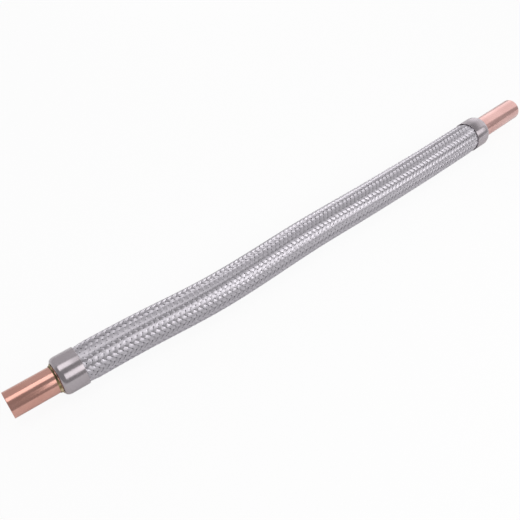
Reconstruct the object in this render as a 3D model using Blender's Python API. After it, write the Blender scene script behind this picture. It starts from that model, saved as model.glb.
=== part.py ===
"""Vibration eliminator: a braided stainless hose between two copper tube stubs.

Metres, +Z up. The hose lies along +X from its short front stub to its longer rear stub.
Every piece is laid out around a straight X axis that starts at the front ferrule's mouth,
and is then bent to the line that the hose really lies in.
"""

import math

import bmesh
import bpy
import numpy as np
from mathutils import Vector

# Gap between pieces that touch or are joined
CLEARANCE = 0.0003

# Copper tube stubs, of 5/8 inch tube: each length is what shows past its ferrule, and the
# inner end lies a little inside the ferrule's mouth
TUBE_OD = 0.01588
TUBE_WALL = 0.0010
TUBE_CHAMFER = 0.0003
TUBE_SETBACK = 0.0030
FRONT_STUB = 0.0284
REAR_STUB = 0.0430

# Corrugated hose: it has a plain cuff at each end, which fits over the copper tube
HOSE_WALL = 0.0003
CORRUGATION_DEPTH = 0.0015
CORRUGATION_PITCH = 0.0052
CORRUGATED_INSERT = 0.0020

# Braid: flat strands run both ways round the hose, each over two and under two
MOUTH_TO_MOUTH = 0.3336
STRANDS_EACH_WAY = 18
STRAND_PITCH = 0.00351
BRAID_WALL = 0.0006
BRAID_RELIEF = 0.0004
BRAID_SQUEEZE = 0.00055
BRAID_NECK = 0.0070
SQUEEZED_RELIEF = 0.4

# Ferrules: a drawn cup over each end of the braid, with a hole in its nose for the tube
FERRULE_LENGTH = 0.0144
FERRULE_WALL = 0.0005
FERRULE_SHOULDER = 0.0024
MOUTH_CHAMFER = 0.00015

# Braze fillet outside each nose, and the two joints hidden inside each ferrule
FILLET_LENGTH = 0.0016
FILLET_HEIGHT = 0.0010
FILLET_EDGE = 0.00015
BEAD_WIDTH = 0.0015
BEAD_HEIGHT = 0.0015
RING_WIDTH = 0.0015
RING_HEIGHT = 0.0005

# How far the hose lies to one side of the straight line between its ferrule mouths,
# at equal steps from the front mouth to the rear one
SIDEWAYS = (0.0, -0.0016, -0.0044, -0.0041, -0.0026, -0.0025, -0.0022, -0.0014, 0.0)

# Sides and steps of the round shapes
TUBE_SIDES = 32
FERRULE_SIDES = 40
FILLET_SIDES = 32
INNER_SIDES = 24
HOSE_SIDES = 10
ARC_STEPS = 4
BRAID_LINING_STEPS = 12

# Radii, from the tube outwards
TUBE_RADIUS = TUBE_OD / 2
CUFF_BORE_RADIUS = TUBE_RADIUS + CLEARANCE
CREST_RADIUS = CUFF_BORE_RADIUS + HOSE_WALL + CORRUGATION_DEPTH
BRAID_BORE_RADIUS = CREST_RADIUS + CLEARANCE
BRAID_RADIUS = BRAID_BORE_RADIUS + BRAID_WALL + BRAID_RELIEF
SQUEEZED_RADIUS = BRAID_RADIUS - BRAID_SQUEEZE
FERRULE_BORE_RADIUS = SQUEEZED_RADIUS + CLEARANCE
FERRULE_RADIUS = FERRULE_BORE_RADIUS + FERRULE_WALL

# How far the hose's cuffs and the braid reach into a ferrule: each leaves room for its joint
# before the ferrule's round shoulder
JOINT_END = FERRULE_LENGTH - FERRULE_SHOULDER
CUFF_INSERT = JOINT_END - RING_WIDTH - CLEARANCE
BRAID_INSERT = JOINT_END - BEAD_WIDTH - CLEARANCE

# Colour, metallic and roughness of each material
FINISHES = {
    "copper": ((0.82, 0.50, 0.40), 1.0, 0.28),
    "ferrule_steel": ((0.60, 0.58, 0.61), 1.0, 0.30),
    "braid_steel": ((0.66, 0.65, 0.68), 1.0, 0.32),
    "hose_steel": ((0.58, 0.57, 0.58), 1.0, 0.35),
    "braze": ((0.62, 0.50, 0.30), 1.0, 0.45),
    "weld": ((0.50, 0.48, 0.46), 1.0, 0.50),
}


def clear_scene():
    for obj in list(bpy.data.objects):
        bpy.data.objects.remove(obj, do_unlink=True)


def finish_of(name):
    found = bpy.data.materials.get(name)
    if found:
        return found
    colour, metallic, roughness = FINISHES[name]
    made = bpy.data.materials.new(name)
    made.use_nodes = True
    shader = made.node_tree.nodes["Principled BSDF"]
    shader.inputs["Base Color"].default_value = (*colour, 1.0)
    shader.inputs["Metallic"].default_value = metallic
    shader.inputs["Roughness"].default_value = roughness
    return made


class HoseLine:
    """The line that the hose lies in: a natural cubic spline, straight on past both mouths.

    The plane of the bend is tipped so that the belly of the braid touches the surface that
    the lowest flats of both ferrules rest on. The braid's lowest raised points lie half a
    crossing to each side of straight down.
    """

    def __init__(self):
        self.sides = np.array(SIDEWAYS)
        self.step = MOUTH_TO_MOUTH / (len(self.sides) - 1)
        self.bends = self.second_derivatives()
        ferrule_low = FERRULE_RADIUS * math.cos(math.pi / FERRULE_SIDES)
        braid_low = BRAID_RADIUS * math.cos(math.pi / (2 * STRANDS_EACH_WAY))
        self.tip = (ferrule_low - braid_low) / np.abs(self.sides).max()

    def second_derivatives(self):
        count = len(self.sides)
        system = np.eye(count)
        right = np.zeros(count)
        for i in range(1, count - 1):
            system[i, i - 1 : i + 2] = (1.0, 4.0, 1.0)
            right[i] = 6 * (self.sides[i - 1] - 2 * self.sides[i] + self.sides[i + 1]) / self.step**2
        return np.linalg.solve(system, right)

    def sideways(self, along):
        """The sideways offset and its slope at a place between the mouths."""
        i = min(int(along / self.step), len(self.sides) - 2)
        b = along / self.step - i
        a = 1 - b
        low, high = self.sides[i], self.sides[i + 1]
        low_bend, high_bend = self.bends[i], self.bends[i + 1]
        sixth = self.step**2 / 6
        offset = a * low + b * high + sixth * ((a**3 - a) * low_bend + (b**3 - b) * high_bend)
        chord = (high - low) / self.step
        slope = chord + self.step / 6 * ((1 - 3 * a**2) * low_bend + (3 * b**2 - 1) * high_bend)
        return offset, slope

    def place(self, point):
        """Moves a point of the straight layout to where it lies on the bent hose."""
        along = min(max(point.x, 0.0), MOUTH_TO_MOUTH)
        offset, slope = self.sideways(along)
        centre = Vector((along, offset, FERRULE_RADIUS + self.tip * offset))
        ahead = Vector((1.0, slope, self.tip * slope)).normalized()
        side = Vector((0.0, 0.0, 1.0)).cross(ahead).normalized()
        up = ahead.cross(side)
        return centre + ahead * (point.x - along) + side * point.y + up * point.z


def add_piece(name, bm, finish, smooth_angle=math.radians(35)):
    """Bends the straight layout to the hose's line and adds it as one object."""
    for vertex in bm.verts:
        vertex.co = LINE.place(vertex.co)
    bmesh.ops.recalc_face_normals(bm, faces=bm.faces[:])
    mesh = bpy.data.meshes.new(name)
    bm.to_mesh(mesh)
    bm.free()
    mesh.shade_smooth()
    mesh.set_sharp_from_angle(angle=smooth_angle)
    mesh.materials.append(finish_of(finish))
    obj = bpy.data.objects.new(name, mesh)
    bpy.context.scene.collection.objects.link(obj)
    return obj


def turned(name, outline, sides, finish):
    """A closed outline of (place along the hose, radius) points, spun round the X axis.

    The spin starts half a side round from straight down, so that a flat lies underneath.
    """
    bm = bmesh.new()
    start = math.pi / sides
    points = [
        bm.verts.new((along, radius * math.sin(start), -radius * math.cos(start)))
        for along, radius in outline
    ]
    edges = [bm.edges.new((a, b)) for a, b in zip(points, points[1:] + points[:1])]
    bmesh.ops.spin(
        bm,
        geom=points + edges,
        cent=(0.0, 0.0, 0.0),
        axis=(1.0, 0.0, 0.0),
        angle=math.tau,
        steps=sides,
        use_merge=True,
    )
    return add_piece(name, bm, finish)


def at_end(end, outline):
    """Turns outline points, measured outwards from a ferrule's mouth, into places along the hose."""
    if end == "front":
        return [(-out, radius) for out, radius in outline]
    return [(MOUTH_TO_MOUTH + out, radius) for out, radius in outline]


def arc(centre_out, centre_radius, size, first, last):
    """Points of an arc in the outline's plane, with its angles in degrees from the outward axis."""
    angles = np.radians(np.linspace(first, last, ARC_STEPS + 1))
    return [(centre_out + size * math.cos(a), centre_radius + size * math.sin(a)) for a in angles]


def copper_tube(end, stub):
    tip = FERRULE_LENGTH + stub
    bore = TUBE_RADIUS - TUBE_WALL
    outline = [
        (TUBE_SETBACK, bore),
        (TUBE_SETBACK, TUBE_RADIUS),
        (tip - TUBE_CHAMFER, TUBE_RADIUS),
        (tip, TUBE_RADIUS - TUBE_CHAMFER),
        (tip, bore),
    ]
    return turned(f"{end}_copper_tube", at_end(end, outline), TUBE_SIDES, "copper")


def ferrule(end):
    hole = TUBE_RADIUS + CLEARANCE
    shoulder_out = FERRULE_LENGTH - FERRULE_SHOULDER
    shoulder_radius = FERRULE_RADIUS - FERRULE_SHOULDER
    inner_size = FERRULE_SHOULDER - FERRULE_WALL
    outline = [
        (0.0, FERRULE_BORE_RADIUS),
        (0.0, FERRULE_RADIUS - MOUTH_CHAMFER),
        (MOUTH_CHAMFER, FERRULE_RADIUS),
        *arc(shoulder_out, shoulder_radius, FERRULE_SHOULDER, 90, 0),
        (FERRULE_LENGTH, hole),
        (FERRULE_LENGTH - FERRULE_WALL, hole),
        *arc(shoulder_out, shoulder_radius, inner_size, 0, 90),
    ]
    return turned(f"{end}_ferrule", at_end(end, outline), FERRULE_SIDES, "ferrule_steel")


def braze_fillet(end):
    """The concave fillet of filler metal between the ferrule's nose and the tube."""
    bore = TUBE_RADIUS + CLEARANCE
    root = FERRULE_LENGTH + CLEARANCE
    drop = FILLET_HEIGHT - FILLET_EDGE
    outline = [(root, bore)]
    for angle in np.linspace(0, math.pi / 2, ARC_STEPS + 1):
        out = root + FILLET_LENGTH * (1 - math.cos(angle))
        outline.append((out, bore + FILLET_EDGE + drop * (1 - math.sin(angle))))
    outline.append((root + FILLET_LENGTH, bore))
    return turned(f"{end}_braze_fillet", at_end(end, outline), FILLET_SIDES, "braze")


def braid_weld_bead(end):
    """The bead that joins the cut end of the braid to the inside of the ferrule."""
    near = BRAID_INSERT + CLEARANCE
    far = near + BEAD_WIDTH
    top = SQUEEZED_RADIUS
    bottom = top - BEAD_HEIGHT
    corner = BEAD_WIDTH / 4
    outline = [
        (near, bottom + corner),
        (near, top),
        (far - corner, top),
        (far, top - corner),
        (far, bottom + corner),
        (near + BEAD_WIDTH / 2, bottom),
    ]
    return turned(f"{end}_braid_weld_bead", at_end(end, outline), INNER_SIDES, "weld")


def hose_braze_ring(end):
    """The ring of filler metal that seals the hose's cuff to the tube, out of sight."""
    bore = TUBE_RADIUS + CLEARANCE
    near = CUFF_INSERT + CLEARANCE
    outline = [
        (near, bore),
        (near, bore + RING_HEIGHT),
        (near + RING_WIDTH / 3, bore + RING_HEIGHT / 2),
        (near + RING_WIDTH, bore + RING_HEIGHT / 4),
        (near + RING_WIDTH, bore),
    ]
    return turned(f"{end}_hose_braze_ring", at_end(end, outline), INNER_SIDES, "braze")


def corrugated_hose():
    """The thin bellows that holds the gas, from cuff to cuff inside the braid."""
    flat = 1 / math.cos(math.pi / HOSE_SIDES)
    bore = CUFF_BORE_RADIUS * flat
    wall = HOSE_WALL * flat
    first = -CORRUGATED_INSERT
    length = MOUTH_TO_MOUTH + 2 * CORRUGATED_INSERT
    count = round(length / CORRUGATION_PITCH)
    pitch = length / count
    inside = [(-CUFF_INSERT, bore)]
    for i in range(count):
        inside.append((first + i * pitch, bore))
        inside.append((first + (i + 0.5) * pitch, CREST_RADIUS - wall))
    inside.append((first + length, bore))
    inside.append((MOUTH_TO_MOUTH + CUFF_INSERT, bore))
    outside = [(along, radius + wall) for along, radius in inside]
    return turned("corrugated_hose", outside + inside[::-1], HOSE_SIDES, "hose_steel")


def squeeze_at(along):
    """How far the braid is drawn in towards a ferrule: 0 away from both mouths, 1 in a mouth."""
    inward = min(along, MOUTH_TO_MOUTH - along)
    share = min(max(1 - inward / BRAID_NECK, 0.0), 1.0)
    return share * share * (3 - 2 * share)


class BraidSurface:
    """The outer side of the braid as a net of cells, one cell for each crossing of two strands.

    Columns go round the hose and rows go along it. Cells and their corners take turns like the
    squares of a draughtboard: cell (column, row) has an even sum, and a corner has an odd one.
    A strand lies on top over two cells in a row, and those two share one raised point.
    """

    def __init__(self, bm):
        self.bm = bm
        self.columns = 2 * STRANDS_EACH_WAY
        self.row_step = STRAND_PITCH / 2
        half_rows = math.ceil(MOUTH_TO_MOUTH / 2 / self.row_step) + 1
        self.rows = 2 * half_rows
        self.first = MOUTH_TO_MOUTH / 2 - half_rows * self.row_step
        self.corners = {}

    def point(self, column, row, raised):
        along = self.first + row * self.row_step
        squeeze = squeeze_at(along)
        radius = BRAID_RADIUS - BRAID_SQUEEZE * squeeze
        if not raised:
            radius -= BRAID_RELIEF * (1 - (1 - SQUEEZED_RELIEF) * squeeze)
        angle = math.tau * column / self.columns
        return self.bm.verts.new((along, radius * math.sin(angle), -radius * math.cos(angle)))

    def corner(self, column, row):
        key = (column % self.columns, row)
        if key not in self.corners:
            self.corners[key] = self.point(*key, raised=False)
        return self.corners[key]

    def float_over(self, cells, rim):
        """One raised stretch of strand: a low tent over its cells, down to its rim of corners."""
        column = sum(cell[0] for cell in cells) / len(cells)
        row = sum(cell[1] for cell in cells) / len(cells)
        peak = self.point(column, row, raised=True)
        for a, b in zip(rim, rim[1:] + rim[:1]):
            self.bm.faces.new((peak, self.corner(*a), self.corner(*b)))

    def whole_float(self, column, row, lean):
        """A stretch over (column, row) and the next cell, which is one row on or one row back."""
        ahead, back = (column + 1, row + lean), (column, row)
        rim = [(column - 1, row), (column, row - lean), (column + 1, row)]
        rim += [(column + 2, row + lean), (column + 1, row + 2 * lean), (column, row + lean)]
        self.float_over([back, ahead], rim)

    def lone_cell(self, column, row):
        """The end of a stretch that goes on out of the net."""
        rim = [(column - 1, row), (column, row - 1), (column + 1, row), (column, row + 1)]
        self.float_over([(column, row)], rim)

    def fill(self):
        for column in range(0, self.columns, 2):
            lean = 1 if column % 4 == 0 else -1
            for row in range(0, self.rows + 1, 2):
                cells = [(column, row), (column + 1, row + lean)]
                inside = [cell for cell in cells if 1 <= cell[1] <= self.rows - 1]
                if len(inside) == 2:
                    self.whole_float(column, row, lean)
                elif inside:
                    self.lone_cell(*inside[0])

    def edge_loop(self, last):
        """The zigzag of corners at one end of the net, once round the hose."""
        outer, inner = (self.rows, self.rows - 1) if last else (0, 1)
        return [self.corner(m, outer if m % 2 else inner) for m in range(self.columns)]


def ring_of_points(bm, along, radius, count):
    angles = [math.tau * i / count for i in range(count)]
    return [bm.verts.new((along, radius * math.sin(a), -radius * math.cos(a))) for a in angles]


def bridge(bm, first, second):
    for i in range(len(first)):
        j = (i + 1) % len(first)
        bm.faces.new((first[i], first[j], second[j], second[i]))


def braid_sleeve():
    bm = bmesh.new()
    surface = BraidSurface(bm)
    surface.fill()
    count = surface.columns
    lining_radius = BRAID_BORE_RADIUS / math.cos(math.pi / count)
    stations = np.linspace(0, MOUTH_TO_MOUTH, BRAID_LINING_STEPS + 1)
    ends = (-BRAID_INSERT, MOUTH_TO_MOUTH + BRAID_INSERT)
    loops = [surface.edge_loop(last=False)]
    loops.append(ring_of_points(bm, ends[0], SQUEEZED_RADIUS, count))
    for along in (ends[0], *stations, ends[1]):
        loops.append(ring_of_points(bm, along, lining_radius, count))
    loops.append(ring_of_points(bm, ends[1], SQUEEZED_RADIUS, count))
    loops.append(surface.edge_loop(last=True))
    for first, second in zip(loops, loops[1:]):
        bridge(bm, first, second)
    bmesh.ops.triangulate(bm, faces=bm.faces[:])
    return add_piece("braid_sleeve", bm, "braid_steel", smooth_angle=math.radians(10))


def stand_over_origin(pieces):
    """Hangs all pieces on one empty, moved so that the part rests on Z = 0 over the origin."""
    corners = np.array([vertex.co for piece in pieces for vertex in piece.data.vertices])
    low, high = corners.min(axis=0), corners.max(axis=0)
    root = bpy.data.objects.new("vibration_eliminator", None)
    root.location = (-(low[0] + high[0]) / 2, -(low[1] + high[1]) / 2, -low[2])
    bpy.context.scene.collection.objects.link(root)
    for piece in pieces:
        piece.parent = root


clear_scene()
LINE = HoseLine()
PIECES = [corrugated_hose(), braid_sleeve()]
for END, STUB in (("front", FRONT_STUB), ("rear", REAR_STUB)):
    PIECES += [
        copper_tube(END, STUB),
        ferrule(END),
        braze_fillet(END),
        braid_weld_bead(END),
        hose_braze_ring(END),
    ]
stand_over_origin(PIECES)
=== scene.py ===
"""The looks of the vibration eliminator: wire braid, ferrules, copper stubs, braze and studio."""

import math

import bmesh
import bpy
import numpy as np
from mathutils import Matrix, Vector


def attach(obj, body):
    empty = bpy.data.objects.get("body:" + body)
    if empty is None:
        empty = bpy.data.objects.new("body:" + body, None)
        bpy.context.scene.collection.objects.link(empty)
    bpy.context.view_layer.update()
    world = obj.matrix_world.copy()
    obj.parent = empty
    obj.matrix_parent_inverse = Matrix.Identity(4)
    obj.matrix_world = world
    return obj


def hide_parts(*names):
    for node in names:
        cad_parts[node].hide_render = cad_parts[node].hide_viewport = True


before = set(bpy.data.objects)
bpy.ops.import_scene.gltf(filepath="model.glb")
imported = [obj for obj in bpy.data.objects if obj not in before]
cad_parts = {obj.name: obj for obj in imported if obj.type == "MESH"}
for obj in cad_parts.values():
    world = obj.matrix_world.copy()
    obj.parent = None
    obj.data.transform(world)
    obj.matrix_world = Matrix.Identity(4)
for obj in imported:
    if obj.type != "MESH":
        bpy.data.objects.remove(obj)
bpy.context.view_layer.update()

# The line of the hose, in metres, as the solids have it. Places are measured along X from the
# front ferrule's mouth, whose middle is START in the row frame. SIDEWAYS holds the line's offsets
# along Y at even steps, and where it bulges most it also lies lower by BELLY_DROP
START = np.array((-0.174129, 0.001992, 0.01157))
MOUTH_TO_MOUTH = 0.3336
SIDEWAYS = np.array((0.0, -0.0016, -0.0044, -0.0041, -0.0026, -0.0025, -0.0022, -0.0014, 0.0))
BELLY_DROP = 0.000257

# Sizes of the solids that the pieces here are fitted to
TUBE_RADIUS = 0.00794
TUBE_WALL = 0.0010
TUBE_SETBACK = 0.0030
FRONT_STUB = 0.0284
REAR_STUB = 0.0430
CLEARANCE = 0.0003
FERRULE_RADIUS = 0.01159
FERRULE_LENGTH = 0.0144
FERRULE_SHOULDER = 0.0024
FERRULE_WALL = 0.0005
FERRULE_BORE_RADIUS = 0.01109
FILLET_LENGTH = 0.0016
FILLET_HEIGHT = 0.0010
BRAID_RADIUS = 0.01134
BRAID_SQUEEZE = 0.00055
BRAID_NECK = 0.0070

# The braid's pattern: strands of one family lie over two of the other and under the next two. A
# column is half the angle between neighbouring strands of a family, and a row is half their
# pitch along the hose
STRANDS_EACH_WAY = 18
STRAND_PITCH = 0.00351
COLUMN_ANGLE = math.tau / (2 * STRANDS_EACH_WAY)
COLUMNS_PER_WAVE = 4
FIRST_TOP_COLUMN = 0.5
ROW_STEP = STRAND_PITCH / 2
BRAID_TUCK = 0.0030
STEPS_PER_CROSSING = 3
STRANDS_PER_PIECE = 6

# A strand: its wires lie side by side, its middle stands STRAND_CROWN above its edges, and it
# dives by STRAND_DROP under what crosses it. On top it is flattened, and dips by a share of the
# drop. Beside the ferrules only a share of the drop is left. LAYOUT_SCALE turns the metres of its
# own layout, by which its wires' direction is known, into larger units
WIRES = 8
WIRE = 0.00026
WIRE_RIDGE = 0.00001
STRAND_THICKNESS = 0.0002
STRAND_CROWN = 0.00014
STRAND_DROP = 0.00035
TOP_FLATTENING = 0.25
TOP_DIP = 0.1
SQUEEZED_RELIEF = 0.4
LAYOUT_SCALE = 100

# A sleeve painted near black as the shade under the strands. It runs on into both ferrules
CORE_DEPTH = 0.00050
CORE_SQUEEZE_SHARE = 0.5
CORE_OVERRUN = 0.008
CORE_STATIONS = 120
CORE_SIDES = 64

# Finely turned ferrules, tubes and fillets
FINE_SIDES = 160
FINE_INSET = 0.00004
SHOULDER_LENGTH = 0.0034
SHOULDER_POINTS = 16
MOUTH_ROUND = 0.00015
MOUTH_POINTS = 4
RIM_ROUND = 0.00030
RIM_POINTS = 5
WELD_DISTANCE = 1e-7

# A fillet spreads unevenly over the copper: a plain share of its length, and waves that each have
# a share, a count round the tube and a phase
FILLET_SPREAD = 0.80
FILLET_WAVES = ((0.12, 1, 2.2), (0.08, 3, 1.0))
FILLET_EDGE = 0.00003
FILLET_POINTS = 10

# Edges sharper than this, in degrees, stay sharp
FINE_SHARP_FROM = 40.0
SOLID_SHARP_FROM = 35.0

# Finishes
BRAID_COLOUR = (0.64, 0.62, 0.66, 1.0)
BRAID_ROUGHNESS = 0.37
BRAID_ANISOTROPY = 1.0
# The core's colours are painted shade, near black
CORE_PAINTED_SHADE_COLOURS = ((0.3, (0.05, 0.05, 0.055)), (0.7, (0.09, 0.088, 0.095)))
CORE_ROUGHNESS = 0.6
STEEL_SHADES = ((0.35, (0.475, 0.435, 0.455)), (0.65, (0.52, 0.48, 0.505)))
STEEL_ROUGHNESS = (0.16, 0.24)
FRONT_COPPER_SHADES = ((0.35, (0.67, 0.36, 0.295)), (0.65, (0.75, 0.425, 0.355)))
# The rear stub's copper is painted paler than the front's: a painted sheen over the same copper
REAR_COPPER_WITH_PAINTED_SHEEN = ((0.35, (0.70, 0.43, 0.395)), (0.65, (0.78, 0.50, 0.46)))
COPPER_ROUGHNESS = (0.14, 0.24)
BRAZE_SHADES = (
    (0.38, (0.14, 0.115, 0.06)),
    (0.48, (0.42, 0.33, 0.17)),
    (0.58, (0.78, 0.66, 0.42)),
    (0.68, (0.90, 0.80, 0.60)),
)
BRAZE_ROUGHNESS = (0.42, 0.22)

# Lights: each softbox lies along X, at an angle in degrees from straight up towards -Y.
# Then come its two ends along X, its width and its radiance
SOFTBOX_DISTANCE = 0.6
SOFTBOX_TINT = (1.0, 0.985, 0.99)
SOFTBOXES = (
    ("top_softbox", -8.0, -0.50, -0.04, 0.31, 1.35),
    ("top_softbox_end", -8.0, -0.04, 0.11, 0.31, 0.7),
    ("front_softbox_near", 51.5, -0.225, 0.11, 0.31, 1.3),
    ("front_softbox_middle", 51.5, 0.11, 0.26, 0.31, 4.0),
    ("front_softbox_far", 51.5, 0.26, 0.41, 0.31, 2.3),
    ("front_softbox_end", 51.5, 0.41, 0.83, 0.31, 1.0),
    ("back_softbox", -67.0, 0.11, 0.26, 0.31, 2.1),
    ("low_back_softbox", -75.0, 0.26, 0.56, 0.16, 2.2),
)

# The room by direction: it grows lighter by BACK_LEVEL where Y passes through BACK_EDGE, and by
# FAR_LEVEL where X passes through FAR_EDGE. In front of NEAR_EDGE along Y only NEAR_SHARE of the
# far light is left
WHITE = (1.0, 1.0, 1.0, 1.0)
ROOM_TINT = (1.0, 0.985, 1.0, 1.0)
ROOM_LEVEL = 0.35
BACK_LEVEL = 0.27
BACK_EDGE = (0.3, 0.6)
FAR_LEVEL = 0.74
FAR_EDGE = (0.62, 0.71)
NEAR_EDGE = (-0.37, -0.27)
NEAR_SHARE = 0.15

# The floor. The glows are the shares of its white that are its own light, where it is seen and
# where it is mirrored; the rest is lit and takes the shadow
FLOOR_REACH = 4.0
FLOOR_COLOUR = (0.92, 0.92, 0.92, 1.0)
FLOOR_SEEN_GLOW = 0.92
FLOOR_MIRRORED_GLOW = 0.12

# Camera, fitted to the photograph
CAMERA_PLACE = Vector((-0.2229, -0.2204, 0.3231))
CAMERA_HEADING = math.radians(51.381)
CAMERA_PITCH = math.radians(47.655)
CAMERA_LENS = 45.34
CAMERA_SENSOR = 36.0
CAMERA_CLIP = 0.01


def natural_bends(values, step):
    """Second derivatives of the natural cubic curve through values an even step apart."""
    count = len(values)
    system = np.eye(count)
    right = np.zeros(count)
    for i in range(1, count - 1):
        system[i, i - 1 : i + 2] = (1.0, 4.0, 1.0)
        right[i] = 6 * (values[i - 1] - 2 * values[i] + values[i + 1]) / step**2
    return np.linalg.solve(system, right)


LINE_STEP = MOUTH_TO_MOUTH / (len(SIDEWAYS) - 1)
LINE_BENDS = natural_bends(SIDEWAYS, LINE_STEP)
LINE_TIP = BELLY_DROP / np.abs(SIDEWAYS).max()


def place(points):
    """Moves an array of straight-layout points to where they lie on the bent hose."""
    along = np.clip(points[:, 0], 0.0, MOUTH_TO_MOUTH)
    before = np.minimum((along / LINE_STEP).astype(int), len(SIDEWAYS) - 2)
    gone = along / LINE_STEP - before
    left = 1 - gone
    low, high = SIDEWAYS[before], SIDEWAYS[before + 1]
    low_bend, high_bend = LINE_BENDS[before], LINE_BENDS[before + 1]
    bent = (left**3 - left) * low_bend + (gone**3 - gone) * high_bend
    offset = left * low + gone * high + LINE_STEP**2 / 6 * bent
    slope = (high - low) / LINE_STEP
    slope += LINE_STEP / 6 * ((1 - 3 * left**2) * low_bend + (3 * gone**2 - 1) * high_bend)
    centre = np.stack([along, offset, LINE_TIP * offset], axis=1)
    ahead = np.stack([np.ones_like(slope), slope, LINE_TIP * slope], axis=1)
    ahead /= np.linalg.norm(ahead, axis=1, keepdims=True)
    side = np.cross((0.0, 0.0, 1.0), ahead)
    side /= np.linalg.norm(side, axis=1, keepdims=True)
    up = np.cross(ahead, side)
    past = (points[:, 0] - along)[:, None]
    return START + centre + ahead * past + side * points[:, 1:2] + up * points[:, 2:3]


class Nodes:
    """A node tree, built by short calls."""

    def __init__(self, tree):
        self.tree = tree

    def add(self, kind, **settings):
        node = self.tree.nodes.new(kind)
        for key, value in settings.items():
            setattr(node, key, value)
        return node

    def link(self, source, target):
        self.tree.links.new(source, target)

    def span(self, source, ends, new_ends, **settings):
        """Carries the stretch between two numbers over to the stretch between two others."""
        node = self.add("ShaderNodeMapRange", **settings)
        sockets = ("From Min", "From Max", "To Min", "To Max")
        for socket, number in zip(sockets, (*ends, *new_ends)):
            node.inputs[socket].default_value = number
        self.link(source, node.inputs["Value"])
        return node.outputs["Result"]

    def work_out(self, operation, *values):
        """A sum of node outputs and plain numbers."""
        node = self.add("ShaderNodeMath", operation=operation)
        for socket, value in zip(node.inputs, values):
            if isinstance(value, float):
                socket.default_value = value
            else:
                self.link(value, socket)
        return node.outputs["Value"]

    def blend(self, share, first, second):
        """The first shader where the share is 0 and the second where it is 1."""
        node = self.add("ShaderNodeMixShader")
        for socket, source in zip(node.inputs, (share, first, second)):
            self.link(source, socket)
        return node.outputs["Shader"]


class Metal(Nodes):
    """A metal's material, with the nodes for its colour, roughness and relief."""

    def __init__(self, name):
        self.material = bpy.data.materials.new(name)
        self.material.use_nodes = True
        super().__init__(self.material.node_tree)
        self.inputs = self.tree.nodes["Principled BSDF"].inputs
        self.set("Metallic", 1.0)

    def set(self, socket, value):
        self.inputs[socket].default_value = value

    def noise(self, scale, detail=3.0, fineness=None):
        """Noise in space. fineness makes its grain finer along an axis, or longer below 1."""
        vector = self.add("ShaderNodeNewGeometry").outputs["Position"]
        if fineness:
            mapping = self.add("ShaderNodeMapping")
            mapping.inputs["Scale"].default_value = fineness
            self.link(vector, mapping.inputs["Vector"])
            vector = mapping.outputs["Vector"]
        node = self.add("ShaderNodeTexNoise")
        node.inputs["Scale"].default_value = scale
        node.inputs["Detail"].default_value = detail
        self.link(vector, node.inputs["Vector"])
        return node.outputs["Fac"]

    def shade(self, source, shades):
        """Colours the metal by a source, from (place, colour) shades."""
        node = self.add("ShaderNodeValToRGB")
        elements = node.color_ramp.elements
        while len(elements) < len(shades):
            elements.new(0.5)
        for element, (at, colour) in zip(elements, shades):
            element.position = at
            element.color = (*colour, 1.0)
        self.link(source, node.inputs["Fac"])
        self.link(node.outputs["Color"], self.inputs["Base Color"])

    def roughen(self, source, ends, roughness):
        """Varies the roughness with a source, between the source's two ends."""
        self.link(self.span(source, ends, roughness), self.inputs["Roughness"])

    def bump(self, height, distance, strength):
        node = self.add("ShaderNodeBump")
        node.inputs["Distance"].default_value = distance
        node.inputs["Strength"].default_value = strength
        self.link(height, node.inputs["Height"])
        self.link(node.outputs["Normal"], self.inputs["Normal"])


def braid_material():
    """Bright wire: a strand scatters light widely across its wires and little along them."""
    made = Metal("braid_wire")
    made.set("Base Color", BRAID_COLOUR)
    made.set("Roughness", BRAID_ROUGHNESS)
    made.set("Anisotropic", BRAID_ANISOTROPY)
    across = made.add("ShaderNodeTangent", direction_type="UV_MAP", uv_map="strand")
    made.link(across.outputs["Tangent"], made.inputs["Tangent"])
    return made.material


def painted_shade_core_material():
    """Painted shade: near black, for the shade between the strands."""
    made = Metal("braid_core_shadow")
    made.shade(made.noise(scale=500.0), CORE_PAINTED_SHADE_COLOURS)
    made.set("Roughness", CORE_ROUGHNESS)
    return made.material


def ferrule_material():
    """Satin stainless steel, brushed round the ferrule."""
    made = Metal("satin_stainless")
    brushed = made.noise(scale=260.0, detail=4.0, fineness=(8.0, 1.0, 1.0))
    made.shade(made.noise(scale=70.0), STEEL_SHADES)
    made.roughen(brushed, (0.3, 0.7), STEEL_ROUGHNESS)
    made.bump(brushed, distance=0.00001, strength=0.3)
    return made.material


def copper_material(name, shades):
    """Drawn copper with fine scratches along the tube."""
    made = Metal(name)
    drawn = made.noise(scale=900.0, detail=4.0, fineness=(0.04, 1.0, 1.0))
    made.shade(made.noise(scale=60.0), shades)
    made.roughen(drawn, (0.3, 0.7), COPPER_ROUGHNESS)
    made.bump(drawn, distance=0.00001, strength=0.5)
    return made.material


def braze_material():
    """Filler metal: golden, with brown and olive heat tint in patches."""
    made = Metal("braze_metal")
    patch = made.noise(scale=150.0, detail=2.0)
    made.shade(patch, BRAZE_SHADES)
    made.roughen(patch, (0.4, 0.65), BRAZE_ROUGHNESS)
    made.bump(made.noise(scale=700.0), distance=0.00003, strength=0.4)
    return made.material


def smooth_share(value):
    """Rises softly from 0 to 1 while the value does."""
    value = np.clip(value, 0.0, 1.0)
    return value * value * (3 - 2 * value)


def squeeze_at(along):
    """How far the braid is drawn in towards a ferrule: 0 away from both mouths, 1 in a mouth."""
    inward = np.minimum(along, MOUTH_TO_MOUTH - along)
    return smooth_share(1 - inward / BRAID_NECK)


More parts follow.
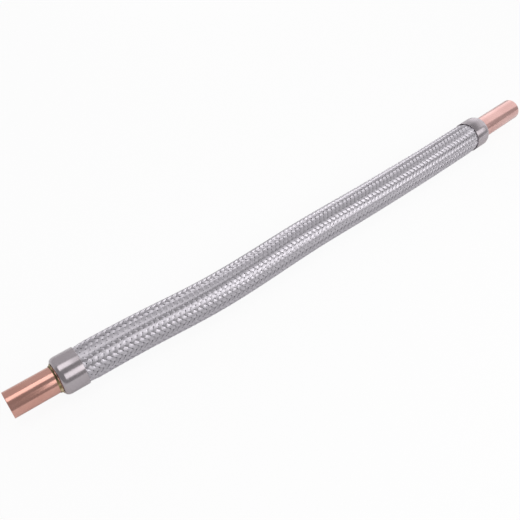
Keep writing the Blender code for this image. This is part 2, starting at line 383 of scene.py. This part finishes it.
def strand_height(column, lean):
    """Height of a strand, from 0 where it is deepest to 1 on top, by the column it passes.

    Over two columns a strand of one family lies on top and over the next two it lies below.
    The stretch on top is flattened.
    """
    middle_of_top = FIRST_TOP_COLUMN if lean > 0 else FIRST_TOP_COLUMN + COLUMNS_PER_WAVE / 2
    wave = np.cos((column - middle_of_top) * math.tau / COLUMNS_PER_WAVE)
    dip = TOP_DIP * np.clip(wave, 0, 1) ** 2
    return 0.5 + 0.5 * ((1 + TOP_FLATTENING) * wave - TOP_FLATTENING * wave**3) - dip


def strand_section():
    """Section of a strand: a crowned row of wires, seen on end.

    Gives each point's place across the strand and its lift, and which points are grooves or edges.
    """
    half = WIRES * WIRE / 2
    places = np.linspace(-half, half, 2 * WIRES + 1)
    lifts = -STRAND_CROWN * (places / half) ** 2
    lifts[1::2] += WIRE_RIDGE
    grooves = [True, False] * WIRES + [True, True, True]
    underside = -STRAND_CROWN - STRAND_THICKNESS
    places = np.concatenate([places, (half, -half)])
    lifts = np.concatenate([lifts, (underside, underside)])
    return places, lifts, np.array(grooves)


def strand_line(number, lean):
    """Points along the middle of one strand, in the straight layout.

    Gives them with the directions across the strand and out of it at each.
    """
    half_length = MOUTH_TO_MOUTH / 2 + BRAID_TUCK
    half_count = math.ceil(half_length / ROW_STEP * STEPS_PER_CROSSING)
    rows = np.arange(-half_count, half_count + 1) / STEPS_PER_CROSSING
    middle_row = math.ceil(MOUTH_TO_MOUTH / 2 / ROW_STEP) + 1
    along = MOUTH_TO_MOUTH / 2 + rows * ROW_STEP
    column = 2 * number + lean * (rows + middle_row)
    angle = COLUMN_ANGLE * column
    squeeze = squeeze_at(along)
    drop = STRAND_DROP * (1 - (1 - SQUEEZED_RELIEF) * squeeze)
    crest = BRAID_RADIUS - BRAID_SQUEEZE * squeeze - WIRE_RIDGE
    radius = crest - drop * (1 - strand_height(column, lean))
    out = np.stack([np.zeros_like(angle), np.sin(angle), -np.cos(angle)], axis=1)
    middle = out * radius[:, None]
    middle[:, 0] = along
    ahead = np.gradient(middle, axis=0)
    ahead /= np.linalg.norm(ahead, axis=1, keepdims=True)
    across = np.cross(out, ahead)
    across /= np.linalg.norm(across, axis=1, keepdims=True)
    return middle, across, np.cross(ahead, across)


def strand_mesh(number, lean):
    """One strand, in the straight layout.

    Gives its points, its side faces, its two end faces, the edges that stay sharp, and each
    point's place across and along it.
    """
    middle, across, up = strand_line(number, lean)
    places, lifts, grooves = strand_section()
    round_share = math.cos(math.atan2(COLUMN_ANGLE * BRAID_RADIUS, ROW_STEP)) ** 2
    sag = places**2 / (2 * BRAID_RADIUS) * round_share
    points = middle[:, None] + across[:, None] * places[None, :, None]
    points += up[:, None] * (lifts - sag)[None, :, None]
    stations, count = points.shape[:2]
    index = np.arange(stations * count).reshape(stations, count)
    beside = np.roll(index, -1, axis=1)
    faces = np.stack([index[:-1], beside[:-1], beside[1:], index[1:]], axis=-1).reshape(-1, 4)
    caps = [index[0][::-1], index[-1]]
    sharp = np.stack([index[:-1], index[1:]], axis=-1)[:, grooves].reshape(-1, 2)
    steps = np.linalg.norm(np.diff(middle, axis=0), axis=1)
    length = np.concatenate([(0.0,), np.cumsum(steps)])
    layout = np.zeros((stations, count, 2))
    layout[:, :, 0] = (places + places.max()) * LAYOUT_SCALE
    layout[:, :, 1] = length[:, None] * LAYOUT_SCALE
    return points.reshape(-1, 3), faces, caps, sharp, layout.reshape(-1, 2)


def mesh_object(name, points, faces, material, sharp_from=FINE_SHARP_FROM):
    """A smooth mesh piece. Without sharp_from its edges are marked later."""
    mesh = bpy.data.meshes.new(name)
    mesh.from_pydata(points.tolist(), [], faces)
    mesh.update()
    mesh.shade_smooth()
    if sharp_from:
        mesh.set_sharp_from_angle(angle=math.radians(sharp_from))
    mesh.materials.append(material)
    obj = bpy.data.objects.new(name, mesh)
    bpy.context.scene.collection.objects.link(obj)
    return obj


def mark_sharp(mesh, pairs):
    """Marks the edges between these pairs of points as sharp."""
    ends = np.empty(len(mesh.edges) * 2, dtype=np.int64)
    mesh.edges.foreach_get("vertices", ends)
    ends = np.sort(ends.reshape(-1, 2), axis=1)
    wanted = np.sort(pairs, axis=1)
    size = len(mesh.vertices)
    found = np.isin(ends[:, 0] * size + ends[:, 1], wanted[:, 0] * size + wanted[:, 1])
    attribute = mesh.attributes.get("sharp_edge") or mesh.attributes.new("sharp_edge", "BOOLEAN", "EDGE")
    attribute.data.foreach_set("value", found)


def lay_out(mesh, layout):
    """Gives each point of a strand its place across and along it, for the wires' direction."""
    corners = np.empty(len(mesh.loops), dtype=np.int64)
    mesh.loops.foreach_get("vertex_index", corners)
    mesh.uv_layers.new(name="strand").data.foreach_set("uv", layout[corners].ravel())


def build_strands(name, numbers, lean, material):
    """Several strands of one family as one piece."""
    points, faces, sharp, layout = [], [], [], []
    total = 0
    for number in numbers:
        own_points, quads, caps, own_sharp, own_layout = strand_mesh(number, lean)
        points.append(place(own_points))
        faces += (quads + total).tolist()
        faces += [(cap + total).tolist() for cap in caps]
        sharp.append(own_sharp + total)
        layout.append(own_layout)
        total += len(own_points)
    piece = mesh_object(name, np.concatenate(points), faces, material, sharp_from=None)
    mark_sharp(piece.data, np.concatenate(sharp))
    lay_out(piece.data, np.concatenate(layout))
    return piece


def build_braid():
    """Both families of strands, a few strands to a piece.

    The right ones wind round the hose like a right-hand screw, and the left ones the other way.
    """
    material = braid_material()
    made = []
    for lean, word in ((1, "right"), (-1, "left")):
        for group in range(STRANDS_EACH_WAY // STRANDS_PER_PIECE):
            first = group * STRANDS_PER_PIECE
            name = f"braid_{word}_strands_{group + 1}"
            made.append(build_strands(name, range(first, first + STRANDS_PER_PIECE), lean, material))
    return made


def ring_faces(index):
    """The faces between rings of points, from a table of point numbers with a row for each ring."""
    beside = np.roll(index, -1, axis=1)
    faces = np.stack([index[:-1], index[1:], beside[1:], beside[:-1]], axis=-1)
    return faces.reshape(-1, 4).tolist()


def turned(name, outline, sides, material, closed=False):
    """An outline of (place along the hose, radius) points, spun round the hose's line."""
    if closed:
        outline = [*outline, outline[0]]
    outline = np.array(outline)
    angles = np.arange(sides) * math.tau / sides
    ring = np.stack([np.sin(angles), -np.cos(angles)], axis=1)
    points = np.zeros((len(outline), sides, 3))
    points[:, :, 0] = outline[:, 0, None]
    points[:, :, 1:] = outline[:, 1, None, None] * ring[None]
    index = np.arange(len(outline) * sides).reshape(len(outline), sides)
    obj = mesh_object(name, place(points.reshape(-1, 3)), ring_faces(index), material)
    if closed:
        weld(obj.data)
    return obj


def weld(mesh):
    """Joins the doubled points of a closed outline, with its faces turned outwards."""
    bm = bmesh.new()
    bm.from_mesh(mesh)
    bmesh.ops.remove_doubles(bm, verts=bm.verts, dist=WELD_DISTANCE)
    bmesh.ops.recalc_face_normals(bm, faces=bm.faces)
    bm.to_mesh(mesh)
    bm.free()


def at_end(end, outline):
    """Turns an outline measured outwards from a ferrule's mouth into places along the hose."""
    if end == "front":
        return [(-out, radius) for out, radius in outline]
    return [(MOUTH_TO_MOUTH + out, radius) for out, radius in outline]


def arc(centre_out, centre_radius, size, first, last, count):
    """Points on an arc of an outline, by angle in degrees from pointing out."""
    angles = np.radians(np.linspace(first, last, count))
    return [(centre_out + size * math.cos(a), centre_radius + size * math.sin(a)) for a in angles]


def build_ferrule(end, material):
    """The drawn cup with a longer and softer shoulder than the solid's."""
    hole = TUBE_RADIUS + CLEARANCE
    radius = FERRULE_RADIUS - FINE_INSET
    shoulder_out = FERRULE_LENGTH - SHOULDER_LENGTH
    shoulder_radius = radius - FERRULE_SHOULDER
    outline = [(0.0, FERRULE_BORE_RADIUS)]
    outline += arc(MOUTH_ROUND, radius - MOUTH_ROUND, MOUTH_ROUND, 180, 90, MOUTH_POINTS)
    for angle in np.radians(np.linspace(90, 0, SHOULDER_POINTS)):
        out = shoulder_out + SHOULDER_LENGTH * math.cos(angle)
        outline.append((out, shoulder_radius + FERRULE_SHOULDER * math.sin(angle)))
    outline += [(FERRULE_LENGTH, hole), (FERRULE_LENGTH - FERRULE_WALL, hole)]
    outline += [(shoulder_out - FERRULE_WALL, FERRULE_BORE_RADIUS)]
    return turned(f"{end}_ferrule_fine", at_end(end, outline), FINE_SIDES, material, closed=True)


def build_tube(end, stub, material):
    """The copper stub with a finely rounded rim."""
    tip = FERRULE_LENGTH + stub - FINE_INSET
    bore = TUBE_RADIUS - TUBE_WALL
    outline = [(TUBE_SETBACK, bore), (TUBE_SETBACK, TUBE_RADIUS)]
    outline += arc(tip - RIM_ROUND, TUBE_RADIUS - RIM_ROUND, RIM_ROUND, 90, 0, RIM_POINTS)
    outline += arc(tip - RIM_ROUND, bore + RIM_ROUND, RIM_ROUND, 0, -90, RIM_POINTS)
    return turned(f"{end}_copper_fine", at_end(end, outline), FINE_SIDES, material, closed=True)


def build_fillet(end, material):
    """The concave fillet of filler metal, with an uneven edge on the copper."""
    root = FERRULE_LENGTH + CLEARANCE
    bore = TUBE_RADIUS + CLEARANCE
    angles = np.arange(FINE_SIDES) * math.tau / FINE_SIDES
    spread = np.full(FINE_SIDES, FILLET_SPREAD)
    for share, count, phase in FILLET_WAVES:
        spread += share * np.sin(count * angles + phase)
    spread *= FILLET_LENGTH
    bends = np.linspace(0, math.pi / 2, FILLET_POINTS)
    rise = FILLET_HEIGHT * (1 - np.sin(bends))
    out = root + np.outer(1 - np.cos(bends), spread)
    radius = (bore + FILLET_EDGE + rise)[:, None] + np.zeros_like(out)
    inner_out = np.stack([root + spread, np.full_like(spread, root)])
    out = np.concatenate([out, inner_out])
    radius = np.concatenate([radius, np.full((2, FINE_SIDES), bore)])
    along = -out if end == "front" else MOUTH_TO_MOUTH + out
    points = np.stack([along, radius * np.sin(angles), -radius * np.cos(angles)], axis=-1)
    index = np.arange(points.shape[0] * FINE_SIDES).reshape(-1, FINE_SIDES)
    faces = ring_faces(np.concatenate([index, index[:1]]))
    obj = mesh_object(f"{end}_fillet_fine", place(points.reshape(-1, 3)), faces, material)
    weld(obj.data)
    return obj


def build_painted_shade_core():
    """A sleeve painted in near-black shade just under the strands, seen only through the gaps between
    them.
    """
    stations = np.linspace(-CORE_OVERRUN, MOUTH_TO_MOUTH + CORE_OVERRUN, CORE_STATIONS)
    squeeze = BRAID_SQUEEZE * squeeze_at(stations) * CORE_SQUEEZE_SHARE
    radius = BRAID_RADIUS - WIRE - CORE_DEPTH - squeeze
    return turned("braid_painted_shade_core", np.stack([stations, radius], axis=1), CORE_SIDES, painted_shade_core_material())


def build_world():
    """The room that metal mirrors, lighter towards the back and the far end, and white behind."""
    world = bpy.data.worlds.new("studio")
    bpy.context.scene.world = world
    world.use_nodes = True
    world.node_tree.nodes.clear()
    nodes = Nodes(world.node_tree)
    coords = nodes.add("ShaderNodeTexCoord")
    split = nodes.add("ShaderNodeSeparateXYZ")
    nodes.link(coords.outputs["Generated"], split.inputs["Vector"])
    across, along = split.outputs["Y"], split.outputs["X"]
    soft = "SMOOTHSTEP"
    back_levels = (ROOM_LEVEL, ROOM_LEVEL + BACK_LEVEL)
    back = nodes.span(across, BACK_EDGE, back_levels, interpolation_type=soft)
    far = nodes.span(along, FAR_EDGE, (0.0, FAR_LEVEL), interpolation_type=soft)
    behind = nodes.span(across, NEAR_EDGE, (NEAR_SHARE, 1.0), interpolation_type=soft)
    room = nodes.add("ShaderNodeBackground")
    room.inputs["Color"].default_value = ROOM_TINT
    nodes.link(nodes.work_out("MULTIPLY_ADD", far, behind, back), room.inputs["Strength"])
    seen = nodes.add("ShaderNodeBackground")
    seen.inputs["Color"].default_value = WHITE
    seen.inputs["Strength"].default_value = 1.0
    path = nodes.add("ShaderNodeLightPath")
    both = nodes.blend(
        path.outputs["Is Camera Ray"], room.outputs["Background"], seen.outputs["Background"]
    )
    nodes.link(both, nodes.add("ShaderNodeOutputWorld").inputs["Surface"])


def build_softbox(name, polar, first, last, width, radiance):
    """A long light parallel to X. polar is its angle from straight up, towards -Y."""
    data = bpy.data.lights.new(name, "AREA")
    data.shape = "RECTANGLE"
    data.size = last - first
    data.size_y = width
    data.energy = radiance * math.pi * data.size * data.size_y
    data.color = SOFTBOX_TINT
    obj = bpy.data.objects.new(name, data)
    bpy.context.scene.collection.objects.link(obj)
    angle = math.radians(polar)
    out = Vector((0.0, -math.sin(angle), math.cos(angle)))
    obj.location = Vector(((first + last) / 2, 0.0, START[2])) + out * SOFTBOX_DISTANCE
    obj.rotation_euler = out.to_track_quat("Z", "Y").to_euler()
    obj.visible_camera = False


def floor_material():
    """White by its own glow for the most part, and lit for the rest."""
    material = bpy.data.materials.new("floor_white")
    material.use_nodes = True
    material.node_tree.nodes.clear()
    nodes = Nodes(material.node_tree)
    lit = nodes.add("ShaderNodeBsdfDiffuse")
    lit.inputs["Color"].default_value = FLOOR_COLOUR
    glow = nodes.add("ShaderNodeEmission")
    glow.inputs["Color"].default_value = WHITE
    glow.inputs["Strength"].default_value = 1.0
    path = nodes.add("ShaderNodeLightPath")
    seen = nodes.work_out("MULTIPLY", path.outputs["Is Camera Ray"], FLOOR_SEEN_GLOW)
    mirrored = nodes.work_out("MULTIPLY", path.outputs["Is Glossy Ray"], FLOOR_MIRRORED_GLOW)
    share = nodes.work_out("ADD", seen, mirrored)
    surface = nodes.blend(share, lit.outputs["BSDF"], glow.outputs["Emission"])
    nodes.link(surface, nodes.add("ShaderNodeOutputMaterial").inputs["Surface"])
    return material


def build_floor():
    reach = FLOOR_REACH
    mesh = bpy.data.meshes.new("floor")
    corners = [(-reach, -reach, 0), (reach, -reach, 0), (reach, reach, 0), (-reach, reach, 0)]
    mesh.from_pydata(corners, [], [(0, 1, 2, 3)])
    mesh.materials.append(floor_material())
    obj = bpy.data.objects.new("floor", mesh)
    bpy.context.scene.collection.objects.link(obj)


def build_camera():
    data = bpy.data.cameras.new("camera")
    data.lens = CAMERA_LENS
    data.sensor_width = CAMERA_SENSOR
    data.clip_start = CAMERA_CLIP
    obj = bpy.data.objects.new("camera", data)
    bpy.context.scene.collection.objects.link(obj)
    obj.location = CAMERA_PLACE
    ahead = Vector(
        (
            math.cos(CAMERA_PITCH) * math.cos(CAMERA_HEADING),
            math.cos(CAMERA_PITCH) * math.sin(CAMERA_HEADING),
            -math.sin(CAMERA_PITCH),
        )
    )
    obj.rotation_euler = ahead.to_track_quat("-Z", "Y").to_euler()
    bpy.context.scene.camera = obj


def finish_solids(coppers, steel, braze):
    """Gives each carried-over solid its procedural material."""
    finishes = {"braid_sleeve": steel, "corrugated_hose": steel}
    for end in ("front", "rear"):
        finishes[f"{end}_copper_tube"] = coppers[end]
        finishes[f"{end}_ferrule"] = steel
        finishes[f"{end}_braid_weld_bead"] = steel
        finishes[f"{end}_braze_fillet"] = braze
        finishes[f"{end}_hose_braze_ring"] = braze
    for name, material in finishes.items():
        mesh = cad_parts[name].data
        mesh.materials.clear()
        mesh.materials.append(material)
        mesh.shade_smooth()
        mesh.set_sharp_from_angle(angle=math.radians(SOLID_SHARP_FROM))


def build_pieces(coppers, steel, braze):
    """Every piece made here, with the solid that it replaces and its slot."""
    pieces = [(piece, "braid_sleeve", "braid_steel") for piece in [*build_braid(), build_painted_shade_core()]]
    for end, stub in (("front", FRONT_STUB), ("rear", REAR_STUB)):
        pieces.append((build_ferrule(end, steel), f"{end}_ferrule", "ferrule_steel"))
        pieces.append((build_tube(end, stub, coppers[end]), f"{end}_copper_tube", "copper"))
        pieces.append((build_fillet(end, braze), f"{end}_braze_fillet", "braze"))
    return pieces


build_camera()
build_world()
for softbox in SOFTBOXES:
    build_softbox(*softbox)
build_floor()
COPPERS = {
    "front": copper_material("drawn_copper", FRONT_COPPER_SHADES),
    # The rear copper's paler colour is a painted sheen
    "rear": copper_material("drawn_copper_with_painted_sheen", REAR_COPPER_WITH_PAINTED_SHEEN),
}
STEEL = ferrule_material()
BRAZE = braze_material()
finish_solids(COPPERS, STEEL, BRAZE)
for piece, node, slot in build_pieces(COPPERS, STEEL, BRAZE):
    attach(piece, "root")
    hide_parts(node)

bpy.context.scene.view_settings.view_transform = "Standard"
